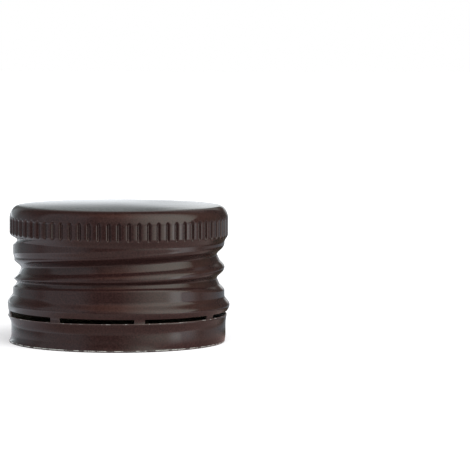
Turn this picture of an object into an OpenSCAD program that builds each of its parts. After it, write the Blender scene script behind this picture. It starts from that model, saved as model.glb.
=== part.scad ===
// Rolled-on aluminium screw cap for a bottle neck, with a tear-off band and a sealing liner.
// The cap stands on its open rim: +Z is up and the origin is at the centre of the rim.

/* [Cap] */
// Height from the rim to the top face
cap_h = 17.8; // [17:0.05:20]
// How much the top panel is crowned
crown = 0.1; // [0:0.02:0.2]
// Radius of the flat middle of the top panel
crown_flat = 4; // [2:0.5:8]
// Diameter over the crests of the knurl
crest_d = 28.4; // [27.6:0.1:30]
// Thickness of the aluminium sheet
wall = 0.22; // [0.18:0.01:0.28]
// Width of the rounded shoulder, seen from above
shoulder_w = 1.2; // [0.8:0.05:2]
// Height of the rounded shoulder
shoulder_h = 1.75; // [1.2:0.05:2]

/* [Knurl] */
// Number of knurl grooves
knurl_count = 70; // [60:1:78]
// Depth of a knurl groove
knurl_depth = 0.22; // [0.16:0.01:0.26]
// Height from the foot of the knurl to the top face
knurl_h = 3.7; // [3.4:0.05:4.5]
// Distance from the top face down to the heads of the ribs
knurl_margin = 1.5; // [1.35:0.05:1.9]
// Radius of the tooth that rolls a groove
tooth_r = 0.4; // [0.3:0.02:0.45]
// Angle of the first groove
knurl_phase = 2.53; // [0:0.01:6]

/* [Neck] */
// Diameter of the plain wall below the knurl
neck_d = 27.48; // [26.6:0.02:27.8]
// Height of the step from the knurl in to the plain wall
step_h = 1.1; // [0.9:0.05:1.5]

/* [Thread] */
// Depth of the rolled groove
thread_depth = 0.98; // [0.6:0.02:1.2]
// Rise of the groove in one turn
thread_pitch = 3.68; // [3.3:0.02:3.8]
// Slope of the last stretch, where the roller leaves the wall
runout_pitch = 1; // [0.4:0.1:1.6]
// Distance from the top face down to the groove on the +X side
thread_drop = 6.4; // [6.1:0.05:6.9]
// How much higher the groove runs at the front than at the sides
thread_tilt = 0.3; // [0:0.05:0.4]
// Half width of the groove above its bottom
flank_up = 1.4; // [1.1:0.05:1.6]
// Half width of the groove below its bottom
flank_down = 1.65; // [1.3:0.05:1.9]
// Depth of the shallow tail that ends the groove
tail_depth = 0.5; // [0.2:0.02:0.6]

/* [Bead] */
// Diameter over the bead above the slots
bead_d = 28.9; // [28.5:0.05:29.2]
// Height of the bead, from the slots to the plain wall
bead_h = 2.1; // [1.7:0.05:2.3]

/* [Tear-off band] */
// Outside diameter of the band at its waist
band_d = 27.86; // [27.5:0.02:28.1]
// Height of the band, from the rim to the slots
band_h = 3.6; // [3.3:0.05:3.9]
// How far the upper lip of the band flares beyond its waist
lip_flare = 0.3; // [0.1:0.01:0.35]
// Height of the flared lip
lip_h = 1.3; // [0.8:0.05:1.5]
// How far the rim flares beyond the waist
rim_flare = 0.07; // [0.03:0.01:0.15]
// Height of the flare at the rim
rim_h = 0.6; // [0.3:0.05:0.9]

/* [Slots] */
// Number of bridges that hold the band
bridge_count = 8; // [6:1:10]
// Width of one bridge
bridge_w = 1.35; // [0.8:0.05:2]
// Height of the slots between the bridges
slot_h = 0.52; // [0.4:0.02:0.8]
// Angle of the first bridge
bridge_phase = 10.6; // [0:0.1:45]

/* [Liner] */
// Thickness of the sealing liner
liner_t = 1; // [0.6:0.05:1.4]
// Gap between the edge of the liner and the shoulder
liner_gap = 0.15; // [0.1:0.05:0.4]

/* [Hidden] */
$fn = 96;
crest_r = crest_d / 2;
groove_r = crest_r - knurl_depth;         // bottom of the knurl grooves
bore_r = crest_r - 2 * knurl_depth;       // inner crests of the knurl
neck_r = neck_d / 2;
bead_r = bead_d / 2;
waist_r = band_d / 2;
lip_r = waist_r + lip_flare;
knurl_z = cap_h - knurl_h;                // foot of the knurl
step_z = knurl_z - step_h;                // foot of the step
slot_z = band_h + slot_h;                 // top of the slots
bead_z = slot_z + bead_h;                 // top of the bead
crest_share = 0.42;                       // the bead's crest lies below its middle
bead_top = slot_z + crest_share * bead_h; // crest of the bead
ring_r = crest_r - shoulder_w;            // edge of the top panel
ring_z = cap_h - crown;                   // top of the shoulder
shoulder_steps = 10;
curve_steps = 6;
groove_pitch = 360 / knurl_count;

// The teeth that roll the knurl, and the hollows that they leave behind the ribs
tooth_tip = 0.4;                          // length of a tooth's point
tooth_over = 0.2;                         // how far the point runs past the heads of the ribs
tooth_under = 0.5;                        // and past their feet
hollow_r = tooth_r - 0.05;
hollow_tip = 0.35;
hollow_inset = 0.1;                       // the hollow ends this much below the heads
hollow_foot = 0.05;

// The thread skin reaches into the plain walls above and below it
thread_lo = bead_z + 0.1;
thread_hi = knurl_z - 0.65;
tongue = 0.15;                            // length inside each wall
tongue_inset = 0.03;                      // clearance from the faces of that wall
edge_row = 0.05;                          // first row inside each end
field_row = 0.25;                         // first of the evenly spaced rows
fade_h = 0.35;                            // height in which the groove fades out at the ends
turn_steps = 80;
row_count = 25;
slope_step = 0.02;                        // height over which a slope is measured

// The groove is followed by one angle that runs through all its turns
start_a = 234;                            // where the groove begins
full_a = 128;                             // where it has its full depth
ease_a = -162;                            // where its pitch starts to fall
ease_span = 250;
tail_a = -440;                            // where the shallow tail begins
tail_span = 80;
end_a = -600;                             // where the groove ends
end_span = 60;
thread_z = cap_h - thread_drop;

// Section of the groove: a rounded V whose flanks end in a rim
bottom_r = 0.08;                          // rounding of the bottom
lean_up = 0.62;                           // how fast the upper flank rises from the bottom
lean_down = 0.46;                         // how fast the lower flank rises
rim_up = 1.25;                            // height in which the upper flank runs out
rim_down = 0.93;                          // height in which the lower flank runs out
width_power = 1.36;                       // how fast a shallower groove gets narrower

function smooth(x) = let (t = min(max(x, 0), 1)) t * t * (3 - 2 * t);
function smooth_sum(x) = x <= 0 ? 0 : x >= 1 ? x - 0.5 : pow(x, 3) - pow(x, 4) / 2;
function wave(x) = (1 - cos(180 * min(max(x, 0), 1))) / 2;

// Height and depth of the groove at angle a
function path_z(a) = let (q = max(ease_a - a, 0))
    thread_z + thread_pitch * a / 360 - thread_tilt * sin(a)
    + (thread_pitch - runout_pitch) / 360 * ease_span * smooth_sum(q / ease_span);
function path_depth(a) =
    a > start_a || a < end_a ? 0
    : a > 0 ? thread_depth * smooth((start_a - a) / (start_a - full_a))
    : (tail_depth + (thread_depth - tail_depth) * smooth((a - tail_a) / tail_span))
        * smooth((a - end_a) / end_span);

// Depth that one turn of the groove takes out of the wall at height z
function turn_depth(a, z) = let (
    d = path_depth(a),
    k = pow(max(d, 0.001) / thread_depth, width_power),
    v = z - path_z(a),
    off = (sqrt(v * v + bottom_r * bottom_r) - bottom_r) / k,
    half = v > 0 ? flank_up : flank_down,
    rim = v > 0 ? rim_up : rim_down,
    lean = v > 0 ? lean_up : lean_down
    ) d * max(1 - lean * off, 0) * smooth((half - off) / rim);
function groove_depth(a, z) =
    max([for (turn = [-2:1]) turn_depth(a + 360 * turn, z)])
    * smooth((z - thread_lo) / fade_h) * smooth((thread_hi - z) / fade_h);

// Outer and inner radius of the plain wall, with the step up to the knurl
function outer_base(z) = neck_r + (crest_r - neck_r) * wave((z - step_z) / step_h);
function inner_base(z) = neck_r - wall + (bore_r - neck_r + wall) * wave((z - step_z) / step_h);

// Height of the top face at radius r
function top_z(r) = cap_h - crown * max(r - crown_flat, 0) / (ring_r - crown_flat);

// Point of the shoulder, an ellipse in section
function shoulder_point(i, w, h, r, top) = let (a = 90 * i / shoulder_steps)
    [r - w + w * cos(a), top - h + h * sin(a)];

// Radius of the outside from the rim to the top of the bead
function low_r(z) =
    z < rim_h ? waist_r + rim_flare * (1 - sin(90 * z / rim_h))
    : z < band_h - lip_h ? waist_r
    : z < band_h ? lip_r - lip_flare * cos(90 * (z - band_h + lip_h) / lip_h)
    : z < slot_z ? lip_r
    : z < bead_top ? lip_r + (bead_r - lip_r) * sin(90 * (z - slot_z) / (bead_top - slot_z))
    : bead_r + (neck_r - bead_r) * wave((z - bead_top) / (bead_z - bead_top));

function span(a, b, n) = [for (i = [0:n - 1]) a + (b - a) * i / n];
low_levels = concat(
    span(0, rim_h, 3),
    [rim_h],
    span(band_h - lip_h, band_h, curve_steps - 1),
    span(band_h, slot_z, 1),
    span(slot_z, bead_top, curve_steps),
    span(bead_top, bead_z, curve_steps + 2),
    [bead_z, thread_lo]
);
function low_slope(z) = (low_r(z + 0.01) - low_r(max(z - 0.01, 0))) / 0.02;
function sheet(s) = wall * sqrt(1 + s * s);

module low_wall() {
    outer = [for (z = low_levels) [low_r(z), z]];
    inner = [for (i = [len(low_levels) - 1:-1:0])
        let (z = low_levels[i]) [low_r(z) - sheet(low_slope(z)), z]];
    rotate_extrude() polygon(concat(outer, inner));
}

module slots() {
    gap = bridge_w / lip_r * 180 / PI;
    sweep = 360 / bridge_count - gap;
    for (i = [0:bridge_count - 1])
        rotate_extrude(angle = sweep, start = bridge_phase + gap / 2 + i * 360 / bridge_count)
            translate([lip_r - 2 * wall, band_h]) square([4 * wall, slot_h]);
}

module high_wall() {
    step_levels = concat([thread_hi], span(thread_hi, knurl_z, curve_steps), [knurl_z]);
    levels = [for (i = [1:len(step_levels) - 1]) step_levels[i]];
    outer = concat([for (z = levels) [outer_base(z), z]],
        [for (i = [0:shoulder_steps]) shoulder_point(i, shoulder_w, shoulder_h, crest_r, ring_z)]);
    inner = concat([for (i = [shoulder_steps:-1:0])
        shoulder_point(i, bore_r - ring_r, shoulder_h - wall, bore_r, ring_z - wall)],
        [for (i = [len(levels) - 1:-1:0]) [inner_base(levels[i]), levels[i]]]);
    rotate_extrude() polygon(concat(
        [[crown_flat, cap_h - wall], [0, cap_h - wall], [0, cap_h], [crown_flat, cap_h]],
        [for (i = [len(outer) - 1:-1:0]) outer[i]],
        [for (i = [len(inner) - 1:-1:0]) inner[i]]));
}

// A rolling tooth: upright, with a pointed head and foot
module tooth(r, low, high, tip) {
    rotate_extrude($fn = 32)
        polygon([[0, low], [r, low + tip], [r, high - tip], [0, high]]);
}

module knurl_grooves() {
    for (i = [0:knurl_count - 1])
        rotate(knurl_phase + i * groove_pitch)
            translate([groove_r + tooth_r, 0])
                tooth(tooth_r, knurl_z - tooth_under, cap_h - knurl_margin + tooth_over, tooth_tip);
}

// The same teeth seen from inside: each rib is hollow behind
module rib_hollows() {
    for (i = [0:knurl_count - 1])
        rotate(knurl_phase + (i + 0.5) * groove_pitch)
            translate([groove_r - hollow_r, 0])
                tooth(hollow_r, knurl_z - hollow_foot, cap_h - knurl_margin - hollow_inset, hollow_tip);
}

// Wall of the thread as one closed skin, outside and inside
module thread_wall() {
    field = thread_hi - thread_lo - 2 * field_row;
    levels = concat(
        [thread_lo - tongue, thread_lo + edge_row],
        [for (i = [0:row_count - 1]) thread_lo + field_row + field * i / (row_count - 1)],
        [thread_hi - edge_row, thread_hi + tongue]);
    n = len(levels);
    function inset(i) = i < 2 || i > n - 3 ? tongue_inset : 0;
    function slope(a, z) =
        (groove_depth(a, z + slope_step) - groove_depth(a, z - slope_step)) / (2 * slope_step);
    function outer_r(a, i) = outer_base(levels[i]) - groove_depth(a, levels[i]) - inset(i);
    function inner_r(a, i) = inner_base(levels[i]) - groove_depth(a, levels[i])
        + wall - sheet(slope(a, levels[i])) + inset(i);
    function section(a) = concat(
        [for (i = [0:n - 1]) [outer_r(a, i), levels[i]]],
        [for (i = [n - 1:-1:0]) [inner_r(a, i), levels[i]]]);
    m = 2 * n;
    points = [for (j = [0:turn_steps - 1]) let (a = 360 * j / turn_steps)
        for (p = section(a)) [p[0] * cos(a), p[0] * sin(a), p[1]]];
    faces = [for (j = [0:turn_steps - 1]) for (k = [0:m - 1]) let (
        a = j * m + k,
        b = ((j + 1) % turn_steps) * m + k,
        c = ((j + 1) % turn_steps) * m + (k + 1) % m,
        d = j * m + (k + 1) % m)
        for (f = [[a, d, c], [a, c, b]]) f];
    polyhedron(points, faces);
}

module shell() {
    color([0.22, 0.16, 0.15]) union() {
        difference() {
            high_wall();
            knurl_grooves();
            rib_hollows();
        }
        thread_wall();
        difference() {
            low_wall();
            slots();
        }
    }
}

// Disc of sealing compound; its edge follows the inside of the shoulder
module liner() {
    edge_r = ring_r - liner_gap;
    edge_z = top_z(edge_r) - wall;
    face = cap_h - wall - liner_t;
    h = shoulder_h - wall;
    low = asin(max(1 - (edge_z - face) / h, 0));
    edge = [for (i = [0:curve_steps]) let (a = low + (90 - low) * i / curve_steps)
        [edge_r + (bore_r - ring_r) * cos(a), edge_z - h + h * sin(a)]];
    color([0.43, 0.44, 0.38])
        rotate_extrude() polygon(concat(
            [[0, face]], low > 0 ? [] : [[edge[0][0], face]], edge,
            [[crown_flat, cap_h - wall], [0, cap_h - wall]]));
}

shell();
liner();
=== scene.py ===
import math

import bpy
import numpy as np
from mathutils import Matrix, Vector


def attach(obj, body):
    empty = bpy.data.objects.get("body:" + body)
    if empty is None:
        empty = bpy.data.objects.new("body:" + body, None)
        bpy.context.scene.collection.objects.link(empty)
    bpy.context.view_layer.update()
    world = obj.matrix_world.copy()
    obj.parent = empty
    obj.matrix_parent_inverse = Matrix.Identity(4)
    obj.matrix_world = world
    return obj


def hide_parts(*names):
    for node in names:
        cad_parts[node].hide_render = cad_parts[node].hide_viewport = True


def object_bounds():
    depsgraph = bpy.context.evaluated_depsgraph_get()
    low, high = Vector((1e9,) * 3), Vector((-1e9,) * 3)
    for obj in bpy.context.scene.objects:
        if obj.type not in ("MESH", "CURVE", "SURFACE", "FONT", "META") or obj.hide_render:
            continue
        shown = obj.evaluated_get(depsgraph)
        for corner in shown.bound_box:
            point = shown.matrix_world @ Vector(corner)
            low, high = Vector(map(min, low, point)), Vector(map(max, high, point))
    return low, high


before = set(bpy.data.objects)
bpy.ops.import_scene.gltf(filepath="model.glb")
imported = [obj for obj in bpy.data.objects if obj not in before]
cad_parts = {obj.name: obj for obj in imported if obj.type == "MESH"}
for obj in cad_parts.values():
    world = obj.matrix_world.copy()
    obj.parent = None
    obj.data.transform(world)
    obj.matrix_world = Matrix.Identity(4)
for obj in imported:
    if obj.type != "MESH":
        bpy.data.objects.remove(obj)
cadLow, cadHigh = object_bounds()
mm = 0.001

# Lengths of the cap in millimetres and angles in degrees
capSize = {
    "height": cadHigh.z / mm,
    "crestRadius": 14.2,
    "sheet": 0.22,
    "shoulderWidth": 1.2,
    "shoulderHeight": 1.75,
    "crown": 0.1,
    "panelTwist": -0.0008,
    "flatFrom": 0.8,
    "flatPower": 5,
    "neckRadius": 13.74,
    "stepHeight": 1.1,
    "stepShift": 0.07,
    "stepTilt": -0.15,
    "columns": 280,
    "fine": 3,
    "sharpFrom": 62,
}
knurlSize = {
    "count": 70,
    "depth": 0.32,
    "floorShare": 0.05,
    "wallShare": 0.2,
    "softFrom": 0.45,
    "softSpan": 0.35,
    "softShare": 0.13,
    "height": 3.7,
    "headDrop": 1.5,
    "footHeight": 13.95,
    "tipDepth": 1.4,
    "headRise": (-0.35, 0.25),
    "footRise": (0.2, -0.5),
    "clearance": 0.012,
    "above": 0.3,
    "soft": 0.05,
    "phase": 2.53,
}
threadSize = {
    "depth": 0.98,
    "pitch": 3.68,
    "runoutPitch": 1.0,
    "drop": 6.4,
    "flankUp": 1.4,
    "flankDown": 1.63,
    "rimUp": 1.26,
    "rimDown": 0.93,
    "leanUp": 0.62,
    "leanDown": 0.46,
    "bottomRadius": 0.08,
    "widthPower": 1.36,
    "tailDepth": 0.51,
    "leastDepth": 0.001,
    "start": 245,
    "full": 128,
    "ease": -162,
    "easeSpan": 250,
    "tail": -440,
    "tailSpan": 80,
    "end": -600,
    "endSpan": 60,
    "tilt": 0.3,
    "lipDepth": 0.17,
    "lipReach": 2.0,
    "lipSpan": 0.8,
    "leftDepth": 0.08,
}
# The band was bent a little out of round, towards -X
beadSize = {
    "rootRadius": 14.24,
    "rootShift": -0.12,
    "crestRadius": 14.42,
    "crestShift": -0.01,
    "crestHeight": 4.95,
    "crestTilt": -0.15,
    "topHeight": 6.22,
    "topTilt": -0.21,
    "grooveRise": (-0.2, 0.3),
}
bandSize = {
    "height": 3.6,
    "lipRadius": 14.23,
    "lipShift": -0.17,
    "lipHeight": 1.4,
    "waistRadius": 13.93,
    "waistShift": -0.03,
    "rimRadius": 14.03,
    "rimShift": -0.25,
    "rimHeight": 1.0,
    "rimEdge": 0.21,
    "burrHeight": 0.12,
    "burr": 0.02,
    "rimInset": 0.05,
}
slotSize = {
    "bridges": 8,
    "bridgeColumns": 2,
    "drawnSpan": 1.2,
    "bridgeWidth": 1.35,
    "height": 0.52,
    "phase": 10.6,
    "chamfer": 0.06,
    "chamferLean": 0.7,
    "topShift": 0.04,
    "topTilt": -0.08,
    "topRise": (0.1, 0.4),
    "topFall": (1.2, 0.4),
    "footDrop": 0.1,
    "footRise": (-1.0, -0.3),
    "footFall": (0.25, 0.05),
}


def smooth(x):
    t = np.clip(x, 0.0, 1.0)
    return t * t * (3 - 2 * t)


def fade(x, start, end):
    # 0 before the start, 1 past the end
    return smooth((x - start) / (end - start))


def smoothSum(x):
    t = np.clip(x, 0.0, 1.0)
    return t ** 3 - t ** 4 / 2 + np.maximum(x - 1, 0)


def wave(x):
    return (1 - np.cos(math.pi * np.clip(x, 0.0, 1.0))) / 2


# Heights along the wall
knurlFoot = capSize["height"] - knurlSize["height"]
stepFoot = knurlFoot - capSize["stepHeight"]
slotTop = bandSize["height"] + slotSize["height"]
beadTop = beadSize["topHeight"] + abs(beadSize["topTilt"])
shoulderTop = capSize["height"] - capSize["crown"]
shoulderFoot = shoulderTop - capSize["shoulderHeight"]


def grooveDepth(angle, z):
    t = threadSize
    deepest = np.zeros(np.broadcast(angle, z).shape)
    leftward = (1 - np.cos(np.radians(angle))) / 2
    for turn in range(-2, 2):
        a = angle + 360 * turn
        past = np.maximum(t["ease"] - a, 0)
        centre = (capSize["height"] - t["drop"] + t["pitch"] * a / 360
                  + (t["pitch"] - t["runoutPitch"]) / 360 * t["easeSpan"] * smoothSum(past / t["easeSpan"])
                  - t["tilt"] * np.sin(np.radians(a)))
        coming = t["depth"] * fade(a, t["start"], t["full"])
        going = ((t["tailDepth"] + (t["depth"] - t["tailDepth"]) * smooth((a - t["tail"]) / t["tailSpan"]))
                 * smooth((a - t["end"]) / t["endSpan"]))
        depth = np.where((a > t["start"]) | (a < t["end"]), 0, np.where(a > 0, coming, going))
        above = z - centre
        share = (np.maximum(depth, t["leastDepth"]) / t["depth"]) ** t["widthPower"]
        away = (np.sqrt(above ** 2 + t["bottomRadius"] ** 2) - t["bottomRadius"]) / share
        half = np.where(above > 0, t["flankUp"], t["flankDown"])
        rim = np.where(above > 0, t["rimUp"], t["rimDown"])
        lean = np.where(above > 0, t["leanUp"], t["leanDown"])
        section = np.maximum(1 - lean * away, 0) * smooth((half - away) / rim)
        # towards -X the groove is deeper, and the land above it is rounded over
        full = np.clip((depth - t["tailDepth"]) / (t["depth"] - t["tailDepth"]), 0, 1) * leftward * (a < 0)
        lip = t["lipDepth"] * smooth((t["lipReach"] - above) / t["lipSpan"]) * (above > 0)
        deepest = np.maximum(deepest, np.maximum((depth + t["leftDepth"] * full) * section, lip * full))
    return deepest


def stepShift(across):
    return capSize["stepShift"] + capSize["stepTilt"] * across


def knurlLimit(angle, z):
    # how far out the wall may reach between the rolling teeth
    k = knurlSize
    away = np.abs(np.mod((angle - k["phase"]) * k["count"] / 360 + 0.5, 1) - 0.5)
    # towards -X the grooves have wider and softer walls
    across = np.cos(np.radians(angle))
    left = smooth((-across - k["softFrom"]) / k["softSpan"])
    groove = 1 - smooth((away - k["floorShare"]) / (k["wallShare"] + k["softShare"] * left))
    head = capSize["height"] - k["headDrop"]
    foot = k["footHeight"] + stepShift(across)
    tip = fade(z - head, *k["headRise"]) + fade(z - foot, *k["footRise"])
    return capSize["crestRadius"] - k["depth"] * (groove - tip * k["tipDepth"])


def softMin(first, second, reach):
    share = np.clip(0.5 + (second - first) / (2 * reach), 0, 1)
    return second + (first - second) * share - reach * share * (1 - share)


def bandRadius(across, z):
    b = bandSize
    flare = 1 - np.cos(np.clip((z - b["height"] + b["lipHeight"]) / b["lipHeight"], 0, 1) * math.pi / 2)
    foot = 1 - np.sin(np.clip(z / b["rimHeight"], 0, 1) * math.pi / 2)
    waist = b["waistRadius"] + b["waistShift"] * across
    lip = b["lipRadius"] + b["lipShift"] * across
    rim = b["rimRadius"] + b["rimShift"] * across
    return waist + (lip - waist) * flare + (rim - waist) * foot


def beadRadius(across, z):
    b = beadSize
    root = b["rootRadius"] + b["rootShift"] * across
    crest = b["crestRadius"] + b["crestShift"] * across
    middle = b["crestHeight"] + b["crestTilt"] * across
    top = b["topHeight"] + b["topTilt"] * across
    under = root + (crest - root) * np.sin(np.clip((z - slotTop) / (middle - slotTop), 0, 1) * math.pi / 2)
    flank = crest + (capSize["neckRadius"] - crest) * wave((z - middle) / (top - middle))
    return np.where(z < middle, under, flank), top


def wallRadius(angle, z):
    c = capSize
    across = np.cos(np.radians(angle))
    bead, top = beadRadius(across, z)
    up = wave((z - stepFoot - stepShift(across)) / c["stepHeight"])
    neck = (c["neckRadius"] + (c["crestRadius"] - c["neckRadius"]) * up
            - grooveDepth(angle, z) * fade(z - top, *beadSize["grooveRise"]))
    radius = np.where(z < top, bead + neck - c["neckRadius"], neck)
    radius = np.where(z < slotTop, bandRadius(across, z), radius)
    head = np.clip((z - shoulderFoot) / c["shoulderHeight"], 0, 1)
    dome = c["crestRadius"] - c["shoulderWidth"] * (1 - np.sqrt(1 - head ** 2))
    radius = np.where(z > shoulderFoot, dome, radius)
    limit = knurlLimit(angle, z) + knurlSize["clearance"]
    return np.where(z > stepFoot + knurlSize["above"], softMin(radius, limit, knurlSize["soft"]), radius)


def slotShift(across, z):
    # the slots' upper edge rises to the left, and their lower edge drops there
    s = slotSize
    above = z - bandSize["height"]
    upper = fade(above, *s["topRise"]) * fade(z - slotTop, *s["topFall"])
    lower = fade(above, *s["footRise"]) * fade(above, *s["footFall"])
    return upper * (s["topShift"] + s["topTilt"] * across) + lower * s["footDrop"] * np.minimum(across, 0)


def spread(low, high, count):
    return [low + (high - low) * i / count for i in range(count)]


# the columns of one rib stand closer on the walls of its groove
ribPlaces = {
    "even": np.arange(13) / 12,
    "drawn": [0, 0.07, 0.115, 0.16, 0.205, 0.275, 0.5, 0.725, 0.795, 0.84, 0.885, 0.93, 1],
}


def columnAngles(z, count):
    # evenly spaced above the bead, and drawn to the ends of the slots below it
    even = knurlSize["phase"] + 360 / count * np.arange(count)
    if count > capSize["columns"]:
        part, ribs = np.divmod(np.arange(count) / count * knurlSize["count"], 1)[::-1]
        part = np.interp(part, ribPlaces["even"], ribPlaces["drawn"])
        even = knurlSize["phase"] + 360 / knurlSize["count"] * (ribs + part)
    share = float(fade(z, beadTop, beadTop - slotSize["drawnSpan"]))
    if share == 0:
        return even
    sector, bridge = slotColumns()
    half = math.degrees(slotSize["bridgeWidth"] / 2 / bandSize["lipRadius"])
    wide = 360 / slotSize["bridges"]
    place = slotPlaces()
    drawn = (slotSize["phase"] + wide * ((np.arange(count) - firstBridge()) // sector)
             + np.interp(place, [0, bridge, sector - bridge, sector], [0, half, wide - half, wide]))
    return even + (drawn - even) * share


def slotColumns():
    return capSize["columns"] // slotSize["bridges"], slotSize["bridgeColumns"]


def firstBridge():
    return round((slotSize["phase"] - knurlSize["phase"]) / 360 * capSize["columns"])


def slotPlaces():
    return np.mod(np.arange(capSize["columns"]) - firstBridge(), slotColumns()[0])


# How many rows of points each stretch of the wall gets, outside and then inside
rowCounts = {
    "panel": 15,
    "shoulder": 12,
    "ribHeads": 16,
    "ribs": 4,
    "ribFeet": 14,
    "neck": 92,
    "bead": 22,
    "band": 16,
    "insideBand": 6,
    "insideBead": 8,
    "insideNeck": 40,
    "insideKnurl": 8,
    "insideShoulder": 5,
}
# Heights, angles, radii and small steps of those rows
rowPlaces = {
    "panelStart": 0.6,
    "shoulderEnd": 26,
    "ribHeads": (16.7, 15.7),
    "ribFeet": 0.3,
    "edge": 0.04,
    "insideEdge": 0.001,
    "hair": 1e-6,
    "insideRim": 0.1,
    "slopeStep": 0.03,
    "steepest": 1.5,
    "insideNarrower": 0.1,
    "panelRings": (8.0, 3.0),
}


def buildShell():
    print("shell: rolled wall, knurl, thread and slotted band")
    c, b, s, n, w = capSize, bandSize, slotSize, rowCounts, rowPlaces
    top, coarse, fine = c["height"], c["columns"], c["columns"] * c["fine"]
    lacquer, inside, bare, rimMetal = 0, 1, 2, 3
    rows, kinds = [], []

    def addRow(radius, z, kind, count=coarse):
        angles = np.radians(columnAngles(float(np.mean(z)), count))
        r = np.broadcast_to(radius, angles.shape)
        h = np.broadcast_to(z, angles.shape)
        rows.append(np.stack([r * np.cos(angles), r * np.sin(angles), h], -1))
        kinds.append(kind)

    def outer(z, kind=lacquer, count=coarse, inset=0.0):
        addRow(wallRadius(columnAngles(z, count), z) - inset, z, kind, count)

    def inner(z, height=None, count=coarse):
        angles, step = columnAngles(z, count), w["slopeStep"]
        lift = min(max(z, step), shoulderFoot)
        slope = (wallRadius(angles, lift + step) - wallRadius(angles, lift - step)) / (2 * step)
        thickness = c["sheet"] * np.sqrt(1 + np.minimum(np.abs(slope), w["steepest"]) ** 2)
        radius = wallRadius(angles, z) - thickness
        addRow(radius, z if height is None else height, inside, count)
        return radius

    # from the middle of the top panel out, down the wall to the rim, and back up inside
    panelEdge = c["crestRadius"] - c["shoulderWidth"]
    for r in spread(w["panelStart"], panelEdge, n["panel"]):
        # the crown is flatter on the right, where it falls only near the edge
        turn = np.radians(columnAngles(top, coarse))
        twist = c["panelTwist"] * np.maximum(np.cos(turn), 0) * np.sin(turn) * r ** 2
        share = (r / panelEdge) ** 2
        rightward = smooth(np.cos(turn) * r / panelEdge / c["flatFrom"])
        fall = share + (share ** c["flatPower"] - share) * rightward
        addRow(r, top - np.maximum(c["crown"] * fall - twist * (1 - share), 0), lacquer)
    for a in spread(90, w["shoulderEnd"], n["shoulder"]):
        outer(shoulderFoot + c["shoulderHeight"] * math.sin(math.radians(a)) - w["hair"])
    headTop, headEnd = w["ribHeads"]
    footTop = knurlFoot + w["ribFeet"]
    for z in (spread(headTop, headEnd, n["ribHeads"]) + spread(headEnd, footTop, n["ribs"])
              + spread(footTop, stepFoot, n["ribFeet"])):
        outer(z, count=fine)
    for z in spread(stepFoot, beadTop, n["neck"]) + spread(beadTop, slotTop, n["bead"]):
        outer(z)
    outerTop = len(rows)
    addRow(wallRadius(columnAngles(slotTop, coarse), slotTop + w["hair"]), slotTop, lacquer)
    outerBottom = len(rows)
    lipRadius = wallRadius(columnAngles(b["height"], coarse), b["height"])
    addRow(lipRadius - s["chamfer"] * s["chamferLean"], b["height"], bare)
    for z in spread(b["height"] - s["chamfer"], b["rimEdge"], n["band"]):
        outer(z)
    outer(b["rimEdge"], rimMetal)
    outer(b["burrHeight"], inset=-b["burr"])
    addRow(wallRadius(columnAngles(0, coarse), 0.0) - b["rimInset"], 0, bare)
    inner(w["insideEdge"], 0)
    for z in spread(w["insideRim"], b["height"], n["insideBand"])[1:]:
        inner(z)
    innerBottom = len(rows)
    inner(b["height"] - w["edge"], b["height"])
    innerTop = len(rows)
    inner(slotTop + w["edge"], slotTop)
    for z in spread(slotTop, beadTop, n["insideBead"])[1:] + spread(beadTop, stepFoot, n["insideNeck"]):
        inner(z)
    for z in spread(stepFoot, shoulderFoot, n["insideKnurl"]):
        inner(z, count=fine)
    under = top - c["sheet"] - c["crown"]
    foot = inner(shoulderFoot)
    for a in spread(0, 90, n["insideShoulder"])[1:] + [90]:
        along = math.radians(a)
        addRow(foot - (c["shoulderWidth"] - w["insideNarrower"]) * (1 - math.cos(along)),
               shoulderFoot + (under - shoulderFoot) * math.sin(along), inside)
    for r in w["panelRings"]:
        addRow(r, under, inside)

    starts = np.cumsum([0] + [len(row) for row in rows]).tolist()
    points = np.concatenate(rows)
    across = points[:, 0] / np.maximum(np.hypot(points[:, 0], points[:, 1]), 1)
    points[:, 2] += slotShift(across, points[:, 2])
    sector, bridge = slotColumns()
    where = slotPlaces()
    isOpen = (where >= bridge) & (where < sector - bridge)
    faces, slots = [], []
    for i in range(len(rows) - 1):
        above, below = len(rows[i]), len(rows[i + 1])
        count = min(above, below)
        upStep, downStep = above // count, below // count
        for j in range(count):
            if i in (outerTop, innerBottom) and isOpen[j]:
                continue
            up = [starts[i] + (j * upStep + k) % above for k in range(upStep + 1)]
            down = [starts[i + 1] + (j * downStep + k) % below for k in range(downStep + 1)]
            faces.append([up[0]] + down + up[:0:-1])
            slots.append(kinds[i])
    first, last = len(points), len(points) + 1
    points = np.concatenate([points, [[0, 0, top], [0, 0, under]]])
    end = starts[-2]
    oT, oB, iB, iT = (starts[row] for row in (outerTop, outerBottom, innerBottom, innerTop))
    for j in range(coarse):
        k = (j + 1) % coarse
        faces += [(first, j, k), (end + j, last, end + k)]
        slots += [lacquer, inside]
        if isOpen[j]:
            faces += [(oT + k, oT + j, iT + j, iT + k), (oB + j, oB + k, iB + k, iB + j)]
            slots += [bare, bare]
        if where[j] == bridge:
            faces.append((oT + j, oB + j, iB + j, iT + j))
            slots.append(bare)
        if where[j] == sector - bridge:
            faces.append((oB + j, oT + j, iT + j, iB + j))
            slots.append(bare)
    mesh = bpy.data.meshes.new("shellForm")
    mesh.from_pydata((points * mm).tolist(), [], faces)
    mesh.polygons.foreach_set("material_index", slots)
    mesh.polygons.foreach_set("use_smooth", [True] * len(faces))
    mesh.validate()
    mesh.update()
    mesh.set_sharp_from_angle(angle=math.radians(c["sharpFrom"]))
    piece = bpy.data.objects.new("cap_shell", mesh)
    bpy.context.scene.collection.objects.link(piece)
    print("  triangles", sum(len(face) - 2 for face in faces))
    return piece


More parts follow.
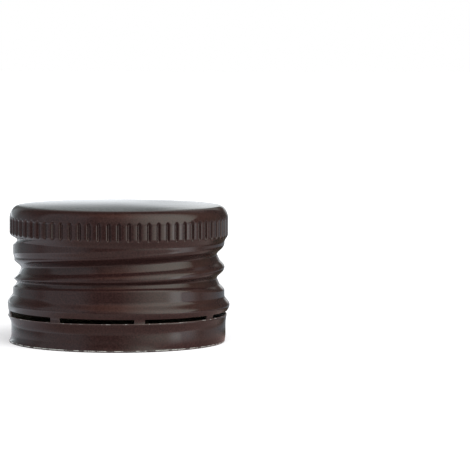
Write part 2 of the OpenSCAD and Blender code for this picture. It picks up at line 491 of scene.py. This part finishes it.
def newMaterial(name):
    material = bpy.data.materials.new(name)
    material.use_nodes = True
    nodes, links = material.node_tree.nodes, material.node_tree.links
    return material, nodes, links, nodes["Principled BSDF"]


def calculate(nodes, links, kind, first, second=None):
    node = nodes.new("ShaderNodeMath")
    node.operation = kind
    for socket, value in zip(node.inputs, (first, second)):
        if value is None:
            continue
        if isinstance(value, (int, float)):
            socket.default_value = value
        else:
            links.new(value, socket)
    return node.outputs[0]


def multiply(nodes, links, first, second):
    return calculate(nodes, links, "MULTIPLY", first, second)


def speckleGroup():
    # a mask of specks, blotches or streaks from noise
    group = bpy.data.node_groups.new("speckle", "ShaderNodeTree")
    for name in ("Scale", "Detail", "Low", "High", "Along"):
        group.interface.new_socket(name, in_out="INPUT", socket_type="NodeSocketFloat")
    group.interface.new_socket("Mask", in_out="OUTPUT", socket_type="NodeSocketFloat")
    nodes, links = group.nodes, group.links
    given, result = nodes.new("NodeGroupInput"), nodes.new("NodeGroupOutput")
    place = nodes.new("ShaderNodeTexCoord")
    stretch = nodes.new("ShaderNodeCombineXYZ")
    stretch.inputs["X"].default_value = stretch.inputs["Y"].default_value = 1
    links.new(given.outputs["Along"], stretch.inputs["Z"])
    scaled = nodes.new("ShaderNodeVectorMath")
    scaled.operation = "MULTIPLY"
    links.new(place.outputs["Object"], scaled.inputs[0])
    links.new(stretch.outputs[0], scaled.inputs[1])
    noise = nodes.new("ShaderNodeTexNoise")
    links.new(scaled.outputs[0], noise.inputs["Vector"])
    share = nodes.new("ShaderNodeMapRange")
    share.interpolation_type = "SMOOTHSTEP"
    links.new(noise.outputs["Fac"], share.inputs["Value"])
    for name, socket in (("Scale", noise.inputs["Scale"]), ("Detail", noise.inputs["Detail"]),
                         ("Low", share.inputs["From Min"]), ("High", share.inputs["From Max"])):
        links.new(given.outputs[name], socket)
    links.new(share.outputs["Result"], result.inputs["Mask"])
    return group


speckles = speckleGroup()


def speckle(nodes, scale, low, high, detail=2, along=1):
    node = nodes.new("ShaderNodeGroup")
    node.node_tree = speckles
    for name, value in (("Scale", scale), ("Detail", detail), ("Low", low), ("High", high),
                        ("Along", along)):
        node.inputs[name].default_value = value
    return node.outputs["Mask"]


def mix(nodes, links, share, first, second):
    # colours where either end is one, otherwise plain values
    node = nodes.new("ShaderNodeMix")
    colour = isinstance(first, tuple) or isinstance(second, tuple)
    node.data_type = "RGBA" if colour else "FLOAT"
    sockets = [node.inputs[place] for place in ((0, 6, 7) if colour else (0, 2, 3))]
    for socket, value in zip(sockets, (share, first, second)):
        if isinstance(value, tuple):
            socket.default_value = value + (1,)
        elif isinstance(value, (int, float)):
            socket.default_value = value
        else:
            links.new(value, socket)
    return node.outputs[2 if colour else 0]


def bump(nodes, links, height, distance):
    node = nodes.new("ShaderNodeBump")
    node.inputs["Strength"].default_value = 1
    node.inputs["Distance"].default_value = distance
    links.new(height, node.inputs["Height"])
    return node.outputs["Normal"]


lacquerLook = {
    "dark": (0.030, 0.0125, 0.012),
    "light": (0.058, 0.0265, 0.025),
    "metallic": 0.5,
    "rough": (0.36, 0.5),
    "edgeTint": (0.3, 0.22, 0.2, 1),
    "specular": 0.0,
    "coat": (1.0, 0.84),
    "coatRoughness": 0.08,
    "grain": {"scale": 5000, "low": 0.25, "high": 0.75},
    "grainDepth": 0.0000015,
}
oliveLook = {
    "dark": (0.15, 0.138, 0.082),
    "light": (0.21, 0.192, 0.12),
    "rough": (0.32, 0.45),
    "coat": 0.6,
    "coatRoughness": 0.2,
    "blotch": {"scale": 350, "low": 0.35, "high": 0.65, "detail": 3},
    "streak": {"scale": 2600, "low": 0.3, "high": 0.7, "along": 0.06},
}
slotLook = {
    "lacquer": (0.1, 0.065, 0.06),
    "metal": (0.5, 0.47, 0.45),
    "metallic": 0.4,
    "rough": (0.5, 0.4),
    "patch": {"scale": 1500, "low": 0.52, "high": 0.7, "detail": 3},
}
rimLook = {
    "lacquer": (0.1, 0.09, 0.085),
    "metal": (0.66, 0.66, 0.63),
    "metallic": 0.3,
    "rough": (0.5, 0.35),
    "patch": {"scale": 1300, "low": 0.42, "high": 0.56, "detail": 3},
}
sealLook = {
    "dark": (0.2, 0.21, 0.155),
    "light": (0.245, 0.252, 0.19),
    "rough": (0.42, 0.55),
    "blotch": {"scale": 420, "low": 0.35, "high": 0.65, "detail": 4},
    "pore": {"scale": 4200, "low": 0.3, "high": 0.7},
    "poreDepth": 0.000004,
}


def brownLacquer():
    look = lacquerLook
    material, nodes, links, shader = newMaterial("brownLacquer")
    grain = speckle(nodes, **look["grain"])
    links.new(mix(nodes, links, grain, look["dark"], look["light"]), shader.inputs["Base Color"])
    links.new(mix(nodes, links, grain, *look["rough"]), shader.inputs["Roughness"])
    links.new(mix(nodes, links, grain, *look["coat"]), shader.inputs["Coat Weight"])
    links.new(bump(nodes, links, grain, look["grainDepth"]), shader.inputs["Normal"])
    shader.inputs["Metallic"].default_value = look["metallic"]
    shader.inputs["Specular Tint"].default_value = look["edgeTint"]
    shader.inputs["Specular IOR Level"].default_value = look["specular"]
    shader.inputs["Coat Roughness"].default_value = look["coatRoughness"]
    return material


def oliveLacquer():
    # drawn sheet shows through the inside lacquer as faint upright streaks
    look = oliveLook
    material, nodes, links, shader = newMaterial("oliveLacquer")
    blotch = speckle(nodes, **look["blotch"])
    streak = speckle(nodes, **look["streak"])
    both = multiply(nodes, links, calculate(nodes, links, "ADD", blotch, streak), 0.5)
    links.new(mix(nodes, links, both, look["dark"], look["light"]), shader.inputs["Base Color"])
    links.new(mix(nodes, links, streak, *look["rough"]), shader.inputs["Roughness"])
    shader.inputs["Coat Weight"].default_value = look["coat"]
    shader.inputs["Coat Roughness"].default_value = look["coatRoughness"]
    return material


def bareAluminium(name, look):
    # cut edges, bright only where the cutting tool took the lacquer off
    material, nodes, links, shader = newMaterial(name)
    patch = speckle(nodes, **look["patch"])
    links.new(mix(nodes, links, patch, look["lacquer"], look["metal"]), shader.inputs["Base Color"])
    links.new(multiply(nodes, links, patch, look["metallic"]), shader.inputs["Metallic"])
    links.new(mix(nodes, links, patch, *look["rough"]), shader.inputs["Roughness"])
    return material


def sealCompound():
    look = sealLook
    material, nodes, links, shader = newMaterial("sealCompound")
    blotch = speckle(nodes, **look["blotch"])
    pore = speckle(nodes, **look["pore"])
    links.new(mix(nodes, links, blotch, look["dark"], look["light"]), shader.inputs["Base Color"])
    links.new(mix(nodes, links, pore, *look["rough"]), shader.inputs["Roughness"])
    links.new(bump(nodes, links, pore, look["poreDepth"]), shader.inputs["Normal"])
    return material


shell = buildShell()
for made in (brownLacquer(), oliveLacquer(), bareAluminium("slotMetal", slotLook),
             bareAluminium("rimMetal", rimLook)):
    shell.data.materials.append(made)
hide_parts("shell")
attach(shell, "root")

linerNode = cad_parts["liner"]
linerNode.data.materials.clear()
linerNode.data.materials.append(sealCompound())

# Studio: camera, light and table
viewFrom = {
    "distance": 348.8,
    "elevation": 4.949,
    "targetHeight": 8.85,
    "focalPixels": 2677.7,
    "targetPixel": (118.91, 272.86),
    "framePixels": 470,
    "roll": 0.21,
    "sensor": 36,
    "clip": (0.01, 20),
}


def placeCamera():
    print("camera")
    v = viewFrom
    tilt = math.radians(v["elevation"])
    ahead = Vector((0, math.cos(tilt), -math.sin(tilt)))
    right = Vector((1, 0, 0))
    up = Vector((0, math.sin(tilt), math.cos(tilt)))
    centre = v["framePixels"] / 2
    aside = (centre - v["targetPixel"][0]) / v["focalPixels"]
    above = (v["targetPixel"][1] - centre) / v["focalPixels"]
    # the camera turns until the cap's middle falls on its pixel
    gaze = (ahead + right * aside + up * above).normalized()
    data = bpy.data.cameras.new("studioCamera")
    data.sensor_width = v["sensor"]
    data.lens = v["focalPixels"] / v["framePixels"] * data.sensor_width
    data.clip_start, data.clip_end = v["clip"]
    camera = bpy.data.objects.new("studioCamera", data)
    bpy.context.scene.collection.objects.link(camera)
    camera.rotation_mode = "QUATERNION"
    camera.location = (Vector((0, 0, v["targetHeight"])) - ahead * v["distance"]) * mm
    camera.rotation_quaternion = (gaze.to_track_quat("-Z", "Y")
                                  @ Matrix.Rotation(math.radians(v["roll"]), 3, "Z").to_quaternion())
    bpy.context.scene.camera = camera


# What the gloss sees: cards by the azimuths and elevations where they fade in and out, in
# degrees, and a straight edge where a card has one
cards = {
    "key": {"across": (-96, -36, -14, 20), "up": (-14, 0, 34, 98), "light": (1.64, 1.84, 1.66),
            "edge": (-0.2, -0.75, 0.63), "blur": 0.025},
    "keyLow": {"across": (-40, -26, -14, 12), "up": (-13, -10, -4, 1), "light": (1.1, 1.2, 1.26)},
    "keyLeft": {"across": (-125, -100, -75, -50), "up": (1, 13, 60, 85), "light": (0.3, 0.23, 0.2)},
    "fill": {"across": (-206, -184, -138, -112), "up": (-12, -6, 40, 75), "light": (0.31, 0.36, 0.39),
             "edge": (0.014, -0.974, 0.227), "blur": 0.12},
    "leftBlue": {"across": (-232, -215, -185, -172), "up": (-8, -4.5, 12, 40),
                 "light": (0.17, 0.19, 0.21)},
    "leftLow": {"across": (-262, -238, -200, -182), "up": (-14, -8, 2, 22), "light": (0.09, 0.13, 0.15)},
    "horizonHigh": {"across": (66, 80, 110, 130), "up": (-0.5, 1.0, 2.1, 4.6),
                    "light": (0.84, 0.88, 0.92)},
    "horizonRight": {"across": (66, 80, 87.8, 89.4), "up": (2.1, 4.6, 6.5, 9.5),
                     "light": (0.84, 0.86, 0.87)},
    "horizon": {"across": (84, 94, 98, 120), "up": (-10, -7, 1.6, 5.0), "light": (0.62, 0.66, 0.7)},
    "backLeft": {"across": (104, 112, 120, 142), "up": (-20, -12, 6, 30), "light": (0.36, 0.39, 0.41)},
    "backHigh": {"across": (76, 90, 110, 140), "up": (1.6, 5, 20, 50), "light": (0.1, 0.13, 0.14)},
    "backRight": {"across": (56, 70, 84, 104), "up": (14, 22, 34, 46), "light": (0.32, 0.32, 0.3)},
    "right": {"across": (-9, 0, 22, 52), "up": (-14, -6, 50, 80), "light": (0.18, 0.12, 0.08)},
    "rightLow": {"across": (0, 20, 78, 92), "up": (-10, -7, -4, 1), "light": (0.2, 0.24, 0.28)},
    "rightHigh": {"across": (25, 45, 100, 118), "up": (30, 42, 48, 64), "light": (0.26, 0.24, 0.24)},
    "above": {"across": (-170, -130, -60, -20), "up": (35, 62, 80, 95), "light": (0.26, 0.1, 0.04)},
}
# The table as the gloss sees it: a colour in front, and lobes of others by azimuth and the
# cosines between which they fade in
tableFar = {
    "front": (0.44, 0.4, 0.38),
    "lobes": [
        {"azimuth": 150, "low": 0.0, "high": 0.7, "light": (0.85, 0.9, 0.97)},
        {"azimuth": -25, "low": 0.75, "high": 0.95, "light": (0.56, 0.52, 0.49)},
        {"azimuth": 60, "low": 0.6, "high": 0.9, "light": (0.1, 0.09, 0.07)},
    ],
}
# painted light: near the cap the floor glows for gloss rays with these colours of the lit table
tableNear = {
    "front": (0.49, 0.42, 0.39),
    "lobes": [
        {"azimuth": 150, "low": 0.1, "high": 0.7, "light": (0.72, 0.78, 0.84)},
        {"azimuth": -20, "low": 0.7, "high": 0.95, "light": (0.62, 0.5, 0.46)},
        {"azimuth": 60, "low": 0.6, "high": 0.9, "light": (0.1, 0.09, 0.07)},
    ],
}
room = {
    "diffuse": (0.35, 0.35, 0.35),
    "ambient": (0.1, 0.095, 0.085),
    "tableFrom": (-7, -10),
    # painted contact shadow: darkens the table's gloss emission close to the cap
    "paintedContactShadow": (0.7, 0.62, 0.62),
    "underCap": (13.8, 13.98),
    "floorSize": 6,
    "floorRough": 0.8,
    # painted shade: the floor's dark colour under the cap
    "paintedShadeUnderCap": (0.08, 0.08, 0.08),
    "floorColour": (0.8, 0.8, 0.8),
    "glow": (0.34, 0.34, 0.35),
    "glowRing": (60, 260),
    "contactRing": (14, 26),
    "nearRing": (34, 52),
    "grazing": (0.72, 0.84),
    "grazingRing": (18, 30),
}


def ramp(nodes, links, value, low, high):
    # 0 below the first value, 1 above the second
    node = nodes.new("ShaderNodeMapRange")
    node.interpolation_type = "SMOOTHSTEP"
    node.inputs["From Min"].default_value = low
    node.inputs["From Max"].default_value = high
    links.new(value, node.inputs["Value"])
    return node.outputs["Result"]


def addColour(nodes, links, first, second):
    node = nodes.new("ShaderNodeVectorMath")
    node.operation = "ADD"
    links.new(first, node.inputs[0])
    links.new(second, node.inputs[1])
    return node.outputs[0]


def facing(nodes, links, vector, toward):
    # cosine between a direction and a fixed one
    node = nodes.new("ShaderNodeVectorMath")
    node.operation = "DOT_PRODUCT"
    node.inputs[1].default_value = toward
    links.new(vector, node.inputs[0])
    return node.outputs["Value"]


def tableColour(nodes, links, vector, look):
    flat = nodes.new("ShaderNodeVectorMath")
    flat.operation = "MULTIPLY"
    flat.inputs[1].default_value = (1, 1, 0)
    links.new(vector, flat.inputs[0])
    unit = nodes.new("ShaderNodeVectorMath")
    unit.operation = "NORMALIZE"
    links.new(flat.outputs[0], unit.inputs[0])
    colour = look["front"]
    for lobe in look["lobes"]:
        azimuth = math.radians(lobe["azimuth"])
        cosine = facing(nodes, links, unit.outputs[0], (math.cos(azimuth), math.sin(azimuth), 0))
        share = ramp(nodes, links, cosine, lobe["low"], lobe["high"])
        colour = mix(nodes, links, share, colour, lobe["light"])
    return colour


def lightRoom():
    print("light")
    world = bpy.data.worlds.new("studioWorld")
    bpy.context.scene.world = world
    world.use_nodes = True
    world.cycles.sampling_method = "NONE"
    nodes, links = world.node_tree.nodes, world.node_tree.links
    place = nodes.new("ShaderNodeTexCoord")
    direction = place.outputs["Generated"]
    parts = nodes.new("ShaderNodeSeparateXYZ")
    links.new(direction, parts.inputs[0])
    degrees = 180 / math.pi
    elevation = multiply(nodes, links, calculate(nodes, links, "ARCSINE", parts.outputs["Z"]), degrees)
    below = ramp(nodes, links, elevation, *room["tableFrom"])
    total = mix(nodes, links, below, room["ambient"], tableColour(nodes, links, direction, tableFar))
    for card in cards.values():
        middle = (card["across"][0] + card["across"][3]) / 2
        turn = nodes.new("ShaderNodeVectorRotate")
        turn.rotation_type = "Z_AXIS"
        turn.inputs["Angle"].default_value = -math.radians(middle)
        links.new(direction, turn.inputs["Vector"])
        turned = nodes.new("ShaderNodeSeparateXYZ")
        links.new(turn.outputs[0], turned.inputs[0])
        azimuth = calculate(nodes, links, "ARCTAN2", turned.outputs["Y"], turned.outputs["X"])
        azimuth = multiply(nodes, links, azimuth, degrees)
        a = [value - middle for value in card["across"]]
        e = card["up"]
        mask = ramp(nodes, links, azimuth, a[0], a[1])
        for value, low, high in ((azimuth, a[3], a[2]), (elevation, e[0], e[1]), (elevation, e[3], e[2])):
            mask = multiply(nodes, links, mask, ramp(nodes, links, value, low, high))
        if "edge" in card:
            side = facing(nodes, links, direction, card["edge"])
            mask = multiply(nodes, links, mask, ramp(nodes, links, side, -card["blur"], card["blur"]))
        total = addColour(nodes, links, total, mix(nodes, links, mask, (0, 0, 0), card["light"]))
    path = nodes.new("ShaderNodeLightPath")
    glossy = mix(nodes, links, path.outputs["Is Glossy Ray"], room["diffuse"], total)
    seen = calculate(nodes, links, "MAXIMUM",
                     path.outputs["Is Camera Ray"], path.outputs["Is Transmission Ray"])
    links.new(mix(nodes, links, seen, glossy, (1, 1, 1)), nodes["Background"].inputs["Color"])


# Square lamps, with distances and sides in metres
lamps = {
    "keyLamp": {"azimuth": -50, "elevation": 52, "distance": 0.6, "side": 0.5, "power": 1.6},
    "overheadLamp": {"azimuth": -75, "elevation": 66, "distance": 0.8, "side": 0.8, "power": 4.2},
}


def lamp(name, azimuth, elevation, distance, side, power):
    data = bpy.data.lights.new(name, "AREA")
    data.shape = "RECTANGLE"
    data.size = data.size_y = side
    data.energy = power
    light = bpy.data.objects.new(name, data)
    bpy.context.scene.collection.objects.link(light)
    a, e = math.radians(azimuth), math.radians(elevation)
    out = Vector((math.cos(a) * math.cos(e), math.sin(a) * math.cos(e), math.sin(e)))
    light.location = out * distance + Vector((0, 0, capSize["height"] / 2 * mm))
    light.rotation_mode = "QUATERNION"
    light.rotation_quaternion = out.to_track_quat("Z", "Y")
    light.visible_camera = False
    light.visible_glossy = False


def reachFrom(nodes, links, place, side):
    # distance in millimetres from a point on the X axis
    node = nodes.new("ShaderNodeVectorMath")
    node.operation = "DISTANCE"
    node.inputs[1].default_value = (side * mm, 0, 0)
    links.new(place, node.inputs[0])
    return calculate(nodes, links, "DIVIDE", node.outputs["Value"], mm)


def layFloor():
    print("table")
    bpy.ops.mesh.primitive_plane_add(size=room["floorSize"], location=(0, 0, 0))
    floor = bpy.context.object
    floor.name = "floor"
    material, nodes, links, shader = newMaterial("whiteTable")
    material.cycles.emission_sampling = "NONE"
    shader.inputs["Roughness"].default_value = room["floorRough"]
    shader.inputs["Specular IOR Level"].default_value = 0
    place = nodes.new("ShaderNodeTexCoord")
    path = nodes.new("ShaderNodeLightPath")
    reach = reachFrom(nodes, links, place.outputs["Object"], 0)
    # painted shade: the floor in the closed space under the bent rim gets a dark colour, which stands in
    # for the shade there
    outside = ramp(nodes, links, reachFrom(nodes, links, place.outputs["Object"], bandSize["rimShift"]),
                   *room["underCap"])
    base = mix(nodes, links, outside, room["paintedShadeUnderCap"], room["floorColour"])
    links.new(base, shader.inputs["Base Color"])
    # white to the horizon, a little less near the cap, so that its shadow shows
    white = nodes.new("ShaderNodeEmission")
    shown = multiply(nodes, links, path.outputs["Is Camera Ray"], outside)
    glow = mix(nodes, links, ramp(nodes, links, reach, *room["glowRing"]), room["glow"], (1, 1, 1))
    links.new(glow, white.inputs["Color"])
    links.new(shown, white.inputs["Strength"])
    lit = nodes.new("ShaderNodeAddShader")
    links.new(shader.outputs[0], lit.inputs[0])
    links.new(white.outputs[0], lit.inputs[1])
    # gloss sees the table only near the cap: there the floor glows for gloss rays with the colours of the
    # lit table, a painted reflection, darkened towards the cap by a painted contact shadow
    near = nodes.new("ShaderNodeEmission")
    ground = tableColour(nodes, links, place.outputs["Object"], tableNear)
    shade = ramp(nodes, links, reach, *room["contactRing"])
    shaded = nodes.new("ShaderNodeVectorMath")
    shaded.operation = "MULTIPLY"
    links.new(ground, shaded.inputs[0])
    links.new(mix(nodes, links, shade, room["paintedContactShadow"], (1, 1, 1)), shaded.inputs[1])
    links.new(shaded.outputs[0], near.inputs["Color"])
    links.new(outside, near.inputs["Strength"])
    clear = nodes.new("ShaderNodeBsdfTransparent")
    glossy = nodes.new("ShaderNodeMixShader")
    slant = nodes.new("ShaderNodeLayerWeight")
    slant.inputs["Blend"].default_value = 0.5
    skimming = multiply(nodes, links, ramp(nodes, links, slant.outputs["Facing"], *room["grazing"]),
                        ramp(nodes, links, reach, *room["grazingRing"]))
    far = calculate(nodes, links, "MAXIMUM", ramp(nodes, links, reach, *room["nearRing"]), skimming)
    links.new(far, glossy.inputs[0])
    links.new(near.outputs[0], glossy.inputs[1])
    links.new(clear.outputs[0], glossy.inputs[2])
    choose = nodes.new("ShaderNodeMixShader")
    links.new(path.outputs["Is Glossy Ray"], choose.inputs[0])
    links.new(lit.outputs[0], choose.inputs[1])
    links.new(glossy.outputs[0], choose.inputs[2])
    links.new(choose.outputs[0], nodes["Material Output"].inputs["Surface"])
    floor.data.materials.append(material)


placeCamera()
lightRoom()
for name, values in lamps.items():
    lamp(name, **values)
layFloor()
bpy.context.scene.view_settings.view_transform = "Standard"
